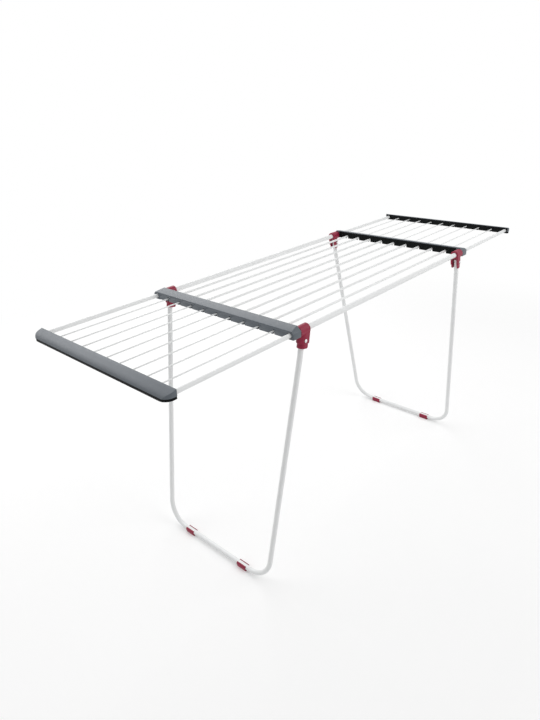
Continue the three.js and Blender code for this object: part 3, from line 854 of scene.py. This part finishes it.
@dataclass(frozen=True)
class ForkPart:
    """A length of the fork: flat cheeks, closed and rounded on the outer side.

    The sizes are how far the rounded side stands out from the leg's axis, half the width, how far
    the open side lies from the axis, and how far the part reaches below the pivot.
    """

    reach: float
    half: float
    open_side: float
    foot: float

    def shaped(self, top: float) -> Workpiece:
        """Shape the part, upright with the pivot at the origin.

        Args:
            top: How far it reaches above the pivot.

        Returns:
            The part.
        """
        length = self.foot + top
        part = Workpiece.bar("fork", Axis.Z, self.half, (0.0, 0.0, (top - self.foot) / 2), length, sides=64)
        part.place(Matrix.Diagonal((self.reach / self.half, 1.0, 1.0, 1.0)))
        part.weld(Workpiece.block("cheeks", (-self.open_side, -self.half, -self.foot), (0.0, self.half, top)))
        return part


@dataclass
class LegConnector:
    """The crimson sleeve and fork that a leg turns in, with its pivot rivet and rail bush."""

    layout: Layout
    sleeve_radius: float = 15 * MM
    hood: ForkPart = ForkPart(16 * MM, 14.5 * MM, 15.7 * MM, 9 * MM)
    hood_round: float = 2.5 * MM
    collar: ForkPart = ForkPart(11 * MM, 13 * MM, 13.2 * MM, 23 * MM)
    collar_round: float = 5 * MM
    leg_channel: float = 8.4 * MM
    sweep_room: float = 0.4 * MM
    rivet_hole: float = 3.3 * MM
    rivet_radius: float = 3 * MM
    tail_radius: float = 4.6 * MM
    tail_round: float = 0.6 * MM
    grain: float = 0.5 * MM
    bush_bore: float = 6.6 * MM
    bush_plug: float = 7.2 * MM
    bush_ease: float = 0.3 * MM

    def connector(self) -> None:
        """Model the connector and fit it at all four corners."""
        lay, half, foot, back = self.layout, self.leg_channel, self.collar.foot, -self.collar.open_side
        pivot = lay.left_pivot
        low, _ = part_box("leg_connector_far_left")
        length = lay.bar[0].x - SEAT_GAP - low.x
        middle = Vector((low.x + length / 2, lay.rail_y, lay.rail_z))
        body = Workpiece.bar("leg_connector_far_left_looks", Axis.X, self.sleeve_radius, middle, length, sides=96)
        top = (lay.rail_z - lay.pivot.z) / math.cos(lay.splay)
        hood, collar = self.hood.shaped(top), self.collar.shaped(0.0)
        hood.round_edges(lambda a, b: max(a.z, b.z) < -self.hood.foot + TOUCH, self.hood_round, segments=5)
        collar.round_edges(lambda a, b: max(a.z, b.z) < -foot + TOUCH and max(a.x, b.x) < back + TOUCH,
                           self.collar_round, segments=6)
        channel = Workpiece.bar("channel", Axis.Z, half, (0.0, 0.0, -foot), 2 * foot, sides=40)
        mouth = Workpiece.block("mouth", (-2 * SPARE, -half, -foot - 2 * MARGIN), (0.0, half, LEG_STUB + LEG_RADIUS))
        for part in (hood, collar, channel, mouth):
            part.place(Matrix.Translation(pivot) @ Matrix.Rotation(-lay.splay, 4, "Y"))
        body.weld(hood, collar)
        body.cut(Workpiece.bar("rail", Axis.X, lay.rail_radius + SEAT_GAP, middle, length + SPARE, sides=56))
        room = math.hypot(LEG_STUB, LEG_RADIUS) + self.sweep_room
        sweep = Workpiece.bar("sweep", Axis.Y, room, pivot, 2 * half, sides=40)
        hole = Workpiece.bar("hole", Axis.Y, self.rivet_hole, pivot, 3 * SPARE, sides=32)
        body.cut(channel, mouth, sweep, hole)
        body.modify("REMESH", mode="VOXEL", voxel_size=self.grain, adaptivity=0.0)
        body.drop_crumbs()
        body.modify("SMOOTH", factor=0.5, iterations=8)
        body.smooth(angle=80.0)
        fit_four_corners(body, "leg_connector", CRIMSON_PLASTIC, across(-2 * lay.rail_y))

    def rivet(self) -> None:
        """Model the domed rivet and fit it at all four corners, heads outwards."""
        low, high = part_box("pivot_rivet_far_left")
        pivot = self.layout.left_pivot
        face = self.hood.half + SEAT_GAP
        seat = pivot + Vector((0.0, face, 0.0))
        radius = (high.x - low.x) / 2
        rivet = Workpiece.bar("pivot_rivet_far_left_looks", Axis.Y, self.rivet_radius, pivot,
                              2 * face + MARGIN, sides=32)
        clear_bench()
        bpy.ops.mesh.primitive_uv_sphere_add(segments=48, ring_count=24, radius=radius, location=seat,
                                             rotation=Axis.Y.value,
                                             scale=(1.0, 1.0, (high.y - pivot.y - face) / radius))
        head = Workpiece("head")
        head.slice_off(seat, (0.0, -1.0, 0.0))
        rise = (pivot.y - face) - low.y
        tail = Workpiece.bar("tail", Axis.Y, self.tail_radius, (pivot.x, low.y + rise / 2, pivot.z), rise, sides=40)
        tail.round_edges(lambda a, b: max(a.y, b.y) < low.y + TOUCH, self.tail_round, segments=3)
        rivet.weld(head, tail)
        rivet.smooth()
        fit_four_corners(rivet, "pivot_rivet", BARE_STEEL, half_turn(self.layout.pivot))

    def bushes(self) -> None:
        """Turn the flanged bush that guides a rod in a rail's mouth, and fit all four."""
        lay = self.layout
        low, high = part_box("rail_bush_far_left")
        middle = Vector(((low.x + high.x) / 2, lay.rail_y, lay.rail_z))
        length = high.x - low.x
        bush = Workpiece.bar("rail_bush_far_left_looks", Axis.X, self.bush_plug, middle, length)
        rim = Vector((high.x - BUSH_FLANGE / 2, middle.y, middle.z))
        bush.weld(Workpiece.bar("flange", Axis.X, lay.rail_radius, rim, BUSH_FLANGE))
        bush.cut(Workpiece.bar("bore", Axis.X, self.bush_bore, middle, length + SPARE))
        bush.ease(self.bush_ease)
        bush.smooth()
        fit_four_corners(bush, "rail_bush", PALE_PLASTIC, across(-2 * lay.rail_y))


# ---- legs


@dataclass
class FoldingLeg:
    """A U-shaped leg of bent tube with its two clip-on feet."""

    layout: Layout
    wall: float = 1.2 * MM
    straight: float = 45 * MM
    corner: float = 237 * MM
    bend: float = 80 * MM
    kink: float = 60 * MM
    rivet_hole: float = 3.4 * MM
    clip_wall: float = 2.2 * MM
    clip_ease: float = 0.5 * MM
    clip_mouth: float = math.radians(38.0)
    pad_half: float = 7.5 * MM

    def turn_corner(self, angle: float, centre: Vector, steps: int) -> None:
        """Bend the open end of the tube inwards about a centre."""
        bpy.ops.mesh.spin(steps=steps, angle=angle, center=centre, axis=(1.0, 0.0, 0.0))

    def run_on(self, step: Vector) -> None:
        """Draw the open end of the tube straight on by a step."""
        bpy.ops.mesh.extrude_region_move(TRANSFORM_OT_translate={"value": step})

    def tube(self) -> None:
        """Bend the leg's tube and fit it at both ends."""
        lay = self.layout
        taper = math.atan2(lay.rail_y - self.corner, lay.leg_length - self.straight)
        down = Vector((0.0, -math.sin(taper), -math.cos(taper)))
        inward = Vector((0.0, -math.cos(taper), math.sin(taper)))
        turn = math.pi / 2 - taper
        kink_run, bend_run = self.kink * math.tan(taper / 2), self.bend * math.tan(turn / 2)
        top = Vector((0.0, lay.rail_y, LEG_STUB))
        kink_start = Vector((0.0, lay.rail_y, -self.straight + kink_run))
        kink_end = Vector((0.0, lay.rail_y, -self.straight)) + kink_run * down
        bend_start = Vector((0.0, self.corner, -lay.leg_length)) - bend_run * down
        clear_bench()
        bpy.ops.mesh.primitive_circle_add(vertices=40, radius=LEG_RADIUS, location=top)
        leg = Workpiece("leg_frame_far_looks")
        leg.open_up()
        self.run_on(kink_start - top)
        self.turn_corner(taper, kink_start + Vector((0.0, -self.kink, 0.0)), steps=3)
        self.run_on(bend_start - kink_end)
        self.turn_corner(turn, bend_start + self.bend * inward, steps=20)
        self.run_on(Vector((0.0, bend_run - self.corner, 0.0)))
        leg.put_down()
        leg.modify("MIRROR", use_axis=(False, True, False), merge_threshold=0.2 * MM)
        leg.open_up()
        bpy.ops.mesh.normals_make_consistent(inside=False)
        leg.put_down()
        leg.give_wall(self.wall)
        leg.cut(Workpiece.bar("rivet_hole", Axis.Y, self.rivet_hole, Vector(), 2 * lay.rail_y + 2 * SPARE, sides=32))
        leg.place(Matrix.Translation(lay.pivot) @ Matrix.Rotation(-lay.splay, 4, "Y"))
        leg.smooth()
        fit_both_ends(leg, "leg_frame", WHITE_PAINT)

    def clip(self) -> None:
        """Model the clip-on foot and fit it at all four corners."""
        low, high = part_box("foot_clip_far_left")
        axis, length = self.layout.base, high.y - low.y
        inner = LEG_RADIUS + SEAT_GAP
        outer = inner + self.clip_wall
        brow = outer - self.clip_wall / 4
        shoulder = axis.z - self.clip_wall
        clip = Workpiece.bar("foot_clip_far_left_looks", Axis.Y, outer, axis, length, sides=64)
        pad = Workpiece.block("pad", (axis.x - brow, low.y, low.z), (axis.x + brow, high.y, shoulder))
        for way in BOTH_WAYS:
            pad.slice_off((axis.x + way * self.pad_half, 0.0, low.z),
                          (way * (shoulder - low.z), 0.0, self.pad_half - brow))
        clip.weld(pad)
        lip = axis.z + outer * math.sin(self.clip_mouth)
        clip.cut(Workpiece.bar("bore", Axis.Y, inner, axis, length + SPARE, sides=56),
                 Workpiece.block("mouth", (low.x - SPARE / 2, low.y - MARGIN, lip),
                                 (high.x + SPARE / 2, high.y + MARGIN, lip + SPARE)))
        clip.ease(self.clip_ease, segments=3)
        clip.smooth()
        fit_four_corners(clip, "foot_clip", CRIMSON_PLASTIC, across(-2 * axis.y))


# ---- wings


@dataclass
class PullOutWing:
    """A wing that slides out of the frame: two rods, the wires and the grip at its end."""

    layout: Layout
    rod_radius: float = 6.3 * MM
    rod_wall: float = 1 * MM
    rod_sides: int = 44
    bead_setback: float = 12.9 * MM
    bead_length: float = 6 * MM
    bead_round: float = 0.9 * MM
    wire_round: float = 0.4 * MM
    top_rise: float = 14 * MM
    crease_in: float = 20 * MM
    crease_rise: float = 8 * MM
    crease_round: float = 2 * MM
    cover_ease: float = 1.6 * MM
    skirt_drop: float = 7 * MM
    hem_drop: float = 3.6 * MM
    lip: float = 3.4 * MM
    face_flats: int = 8
    corner: float = 25 * MM
    rim_wall: float = 2.2 * MM
    tray_wall: float = 2.5 * MM
    tray_inset: float = 0.8 * MM
    tray_ease: float = 0.3 * MM
    ledge: float = 11 * MM
    wire_socket: float = 2.3 * MM

    def rods(self) -> None:
        """Turn the wing's thick rods, with the swaged bead that stops each one."""
        low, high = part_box("wing_rod_far_left")
        middle, length, sides = (low + high) / 2, high.x - low.x, self.rod_sides
        rod = Workpiece.bar("wing_rod_far_left_looks", Axis.X, self.rod_radius, middle, length, sides)
        stop = Vector((self.layout.rail_end - self.bead_setback - self.bead_length / 2, middle.y, middle.z))
        bead = Workpiece.bar("bead", Axis.X, (high.z - low.z) / 2, stop, self.bead_length, sides)
        bead.round_edges(lambda a, b: abs(a.x - b.x) < TOUCH, self.bead_round, segments=3)
        rod.weld(bead)
        rod.cut(Workpiece.bar("bore", Axis.X, self.rod_radius - self.rod_wall, middle, length + SPARE, sides))
        rod.smooth()
        fit_four_corners(rod, "wing_rod", WHITE_PAINT, across(-2 * self.layout.rail_y))

    def wires(self) -> None:
        """Cut the wing's wires."""
        lay = self.layout
        low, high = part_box("wing_wire_far_1")
        radius = (high.z - low.z) / 2
        for i, y in enumerate(lay.line_ys):
            middle = Vector(((low.x + high.x) / 2, y, lay.rail_z))
            wire = Workpiece.bar(f"wing_wire_far_{i + 1}_looks", Axis.X, radius, middle, high.x - low.x, sides=20)
            wire.round_edges(lambda a, b: abs(a.x - b.x) < TOUCH, self.wire_round, segments=2)
            wire.smooth()
            fit_both_ends(wire, "wing_wire", WHITE_PAINT, f"_{i + 1}", -2 * y)

    def plan_block(self, node: str, inset: float, radius: float, foot: float, top: float) -> Workpiece:
        """Shape a block on a solid's plan, with its two outer corners rounded.

        Args:
            node: The solid whose plan it follows.
            inset: How far it lies inside the solid's edge.
            radius: The corners' radius.
            foot: The height of its underside.
            top: The height of its top.

        Returns:
            The block.
        """
        low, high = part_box(node)
        block = Workpiece.block(f"{node}_looks", (low.x + inset, low.y + inset, foot),
                                (high.x - inset, high.y - inset, top))
        outer = high.x - inset - MARGIN
        block.round_edges(lambda a, b: min(a.x, b.x) > outer and abs(a.z - b.z) > MARGIN, radius, segments=16)
        return block

    def grip_form(self, inset: float, foot: float) -> Workpiece:
        """Shape the grip's outside, or its inside when given an inset.

        Args:
            inset: How far it lies inside the outer form.
            foot: The height of its underside.

        Returns:
            The solid form.
        """
        top = self.layout.rail_z + self.top_rise - inset
        form = self.plan_block("grip_cover_far", inset, self.corner - inset, foot, top)
        start = Vector((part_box("grip_cover_far")[0].x + inset + EDGE, 0.0, top))
        for above, below in pairwise([start, *self.outer_face(inset)]):
            run = below - above
            form.slice_off(above, (-run.z, 0.0, run.x))
        return form

    def outer_face(self, inset: float) -> list[Vector]:
        """Give the curve of the grip's outer face, from the crease down to the hem.

        Args:
            inset: How far it lies inside the outer form.

        Returns:
            Points on the curve.
        """
        low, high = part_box("grip_cover_far")
        z = self.layout.rail_z
        outer = high.x - inset
        crease = Vector((low.x + self.crease_in - inset / 2, 0.0, z + self.crease_rise - inset))
        waist = Vector((outer - self.lip, 0.0, z + self.crease_rise / 2 - inset))
        hem = Vector((outer, 0.0, z - self.skirt_drop))
        shares = [step / self.face_flats for step in range(self.face_flats + 1)]
        return [(1 - t) ** 2 * crease + 2 * t * (1 - t) * waist + t ** 2 * hem for t in shares]

    def grip_cover(self) -> None:
        """Model the grey grip cover and fit it at both ends."""
        low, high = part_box("grip_cover_far")
        z = self.layout.rail_z
        crease, off, long_edge = low.x + self.crease_in, 0.1 * MM, 300 * MM
        cover = self.grip_form(0.0, z - self.hem_drop)
        cover.round_edges(lambda a, b: abs(a.y - b.y) > long_edge and abs(a.x - crease) < off,
                          self.crease_round, segments=4)
        cover.ease(self.cover_ease, segments=4, angle=25.0)
        inside = self.grip_form(SHELL, low.z - MARGIN)
        wall_end = high.y - SHELL
        opening = Workpiece.block("opening", (low.x - MARGIN, -wall_end, low.z - MARGIN),
                                  (low.x + SHELL + MARGIN, wall_end, z + self.top_rise - SHELL))
        cover.cut(inside, opening)
        cover.smooth()
        fit_both_ends(cover, "grip_cover", GREY_PLASTIC)

    def tray(self) -> None:
        """Model the black tray that holds the rods and wires, and fit it at both ends."""
        lay, z = self.layout, self.layout.rail_z
        node = "grip_tray_far"
        low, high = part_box(node)
        rim_top, corner = z - self.hem_drop - SEAT_GAP, self.corner - self.tray_inset
        floor_top = z - self.skirt_drop - SEAT_GAP
        tray = self.plan_block(node, 0.0, corner, low.z, rim_top)
        tray.cut(self.plan_block(node, self.rim_wall, corner - self.rim_wall, floor_top, rim_top + MARGIN))
        wall_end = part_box("grip_cover_far")[1].y - SHELL - SEAT_GAP
        foot, ledge_end, ledge_side = low.z + MARGIN, low.x + self.ledge, wall_end - self.tray_wall
        wall = Workpiece.block("wall", (low.x, -wall_end, foot), (low.x + self.tray_wall, wall_end, high.z))
        ledge = Workpiece.block("ledge", (low.x + MARGIN, -ledge_side, foot), (ledge_end, ledge_side, z))
        tray.weld(wall, ledge)
        for way in BOTH_WAYS:
            middle = Vector(((low.x + ledge_end) / 2, way * lay.rail_y, z))
            tray.cut(Workpiece.bar("socket", Axis.X, self.rod_radius + SEAT_GAP, middle,
                                   self.ledge + 2 * MARGIN, sides=40))
        for y in lay.line_ys:
            tray.cut(keyhole(low.x - MARGIN, ledge_end + MARGIN, Vector((0.0, y, z)), self.wire_socket, low.z))
        tray.ease(self.tray_ease)
        tray.smooth()
        fit_both_ends(tray, "grip_tray", BLACK_PLASTIC)


# ---- studio


@dataclass(frozen=True)
class Softbox:
    """A softbox that faces the middle of the rack."""

    name: str
    place: Point
    width: float
    height: float
    power: float

    def hang(self, aim: Vector) -> None:
        """Hang the softbox so that it faces a point.

        Args:
            aim: The point.
        """
        clear_bench()
        bpy.ops.object.light_add(type="AREA", location=self.place)
        lamp = bpy.context.object
        lamp.name = self.name
        lamp.data.shape = "RECTANGLE"
        lamp.data.size = self.width
        lamp.data.size_y = self.height
        lamp.data.energy = self.power
        lamp.rotation_euler = (aim - Vector(self.place)).to_track_quat("-Z", "Y").to_euler()
        lamp.visible_camera = False


@dataclass
class Studio:
    """A plain pale studio: floor, two softboxes, white surroundings and the camera."""

    floor_radius: float = 2.9
    floor_fade: float = 1.5
    floor_tone: float = 0.88
    floor_roughness: float = 0.9
    floor_specular: float = 0.1
    floor_lift: float = 0.14
    surround: float = 0.49
    beside: Softbox = Softbox("side_softbox", (1.0, -2.4, 2.6), 3.0, 2.6, 40.0)
    behind: Softbox = Softbox("back_softbox", (-0.1, 3.0, 3.25), 7.2, 2.5, 122.0)
    camera_place: Point = (-1.5274, -1.1851, 1.4134)
    yaw: float = math.radians(43.628)
    pitch: float = math.radians(25.401)
    roll: float = math.radians(-2.975)
    lens: float = 38.0394
    sensor: float = 36.0

    def floor(self) -> None:
        """Lay a round pale floor that takes the rack's shadow and fades to white at its rim."""
        clear_bench()
        bpy.ops.mesh.primitive_circle_add(vertices=96, radius=self.floor_radius, fill_type="NGON")
        floor = Workpiece("studio_floor")
        material = bpy.data.materials.new("studio_floor")
        floor.obj.data.materials.append(material)
        sheet = NodeSheet(material)
        shader = sheet.tree.nodes["Principled BSDF"]
        sheet.fill(shader, {"Base Color": (*[self.floor_tone] * 3, 1.0), "Roughness": self.floor_roughness,
                            SHEEN: self.floor_specular})
        seen = sheet.seen_directly()
        lift = sheet.add("ShaderNodeMath", {0: self.floor_lift, 1: seen}, operation="MULTIPLY")
        glow = sheet.add("ShaderNodeEmission", {"Strength": lift.outputs[0]})
        lifted = sheet.add("ShaderNodeAddShader", {0: shader.outputs[0], 1: glow.outputs[0]})
        reach = sheet.add("ShaderNodeVectorMath", {0: sheet.place}, operation="LENGTH")
        fade = sheet.add("ShaderNodeMapRange", {
            "Value": reach.outputs["Value"], "From Min": self.floor_fade, "From Max": self.floor_radius,
            "To Max": seen}, interpolation_type="SMOOTHSTEP")
        white = sheet.add("ShaderNodeEmission").outputs[0]
        blended = sheet.add("ShaderNodeMixShader", {"Fac": fade.outputs["Result"], 1: lifted.outputs[0], 2: white})
        sheet.fill(sheet.tree.nodes["Material Output"], {"Surface": blended.outputs[0]})

    def surroundings(self) -> None:
        """Make the world white to look at and weaker as light."""
        world = bpy.data.worlds.new("studio_world")
        bpy.context.scene.world = world
        sheet = NodeSheet(world)
        strength = sheet.add("ShaderNodeMapRange", {
            "Value": sheet.seen_directly(), "To Min": self.surround, "To Max": 1.0}).outputs["Result"]
        sheet.fill(sheet.tree.nodes["Background"], {"Color": (1.0, 1.0, 1.0, 1.0), "Strength": strength})

    def lamps(self) -> None:
        """Hang the softboxes: one to the right and one behind for the sheen on the tops."""
        for softbox in (self.beside, self.behind):
            softbox.hang(Vector((0.0, 0.0, PACKED_BOX[1][2])))

    def camera(self) -> None:
        """Set the camera up."""
        yaw, pitch, roll = self.yaw, self.pitch, self.roll
        ahead = Vector((math.cos(pitch) * math.cos(yaw), math.cos(pitch) * math.sin(yaw), -math.sin(pitch)))
        level = Vector((math.sin(yaw), -math.cos(yaw), 0.0))
        right = math.cos(roll) * level + math.sin(roll) * level.cross(ahead)
        turn = Matrix((right, right.cross(ahead), -ahead)).transposed().to_4x4()
        clear_bench()
        bpy.ops.object.camera_add()
        camera = bpy.context.object
        camera.name = "studio_camera"
        camera.matrix_world = Matrix.Translation(self.camera_place) @ turn
        camera.data.sensor_fit = "HORIZONTAL"
        camera.data.sensor_width = self.sensor
        camera.data.lens = self.lens
        bpy.context.scene.camera = camera
        bpy.context.scene.view_settings.view_transform = "Standard"


def main() -> None:
    """Dress the rack, piece by piece, and set up the studio."""
    logging.basicConfig(level=logging.INFO, format="%(name)s: %(message)s")
    layout = Layout.measured()
    middle, crossbar, connector = MiddleFrame(layout), Crossbar(layout), LegConnector(layout)
    leg, wing, studio = FoldingLeg(layout), PullOutWing(layout), Studio()
    for build in (middle.tubes, crossbar.cover, crossbar.comb, connector.connector, connector.rivet,
                  connector.bushes, leg.tube, leg.clip, wing.rods, wing.wires, wing.grip_cover, wing.tray,
                  studio.floor, studio.surroundings, studio.lamps, studio.camera):
        build()


if __name__ == "__main__":
    main()
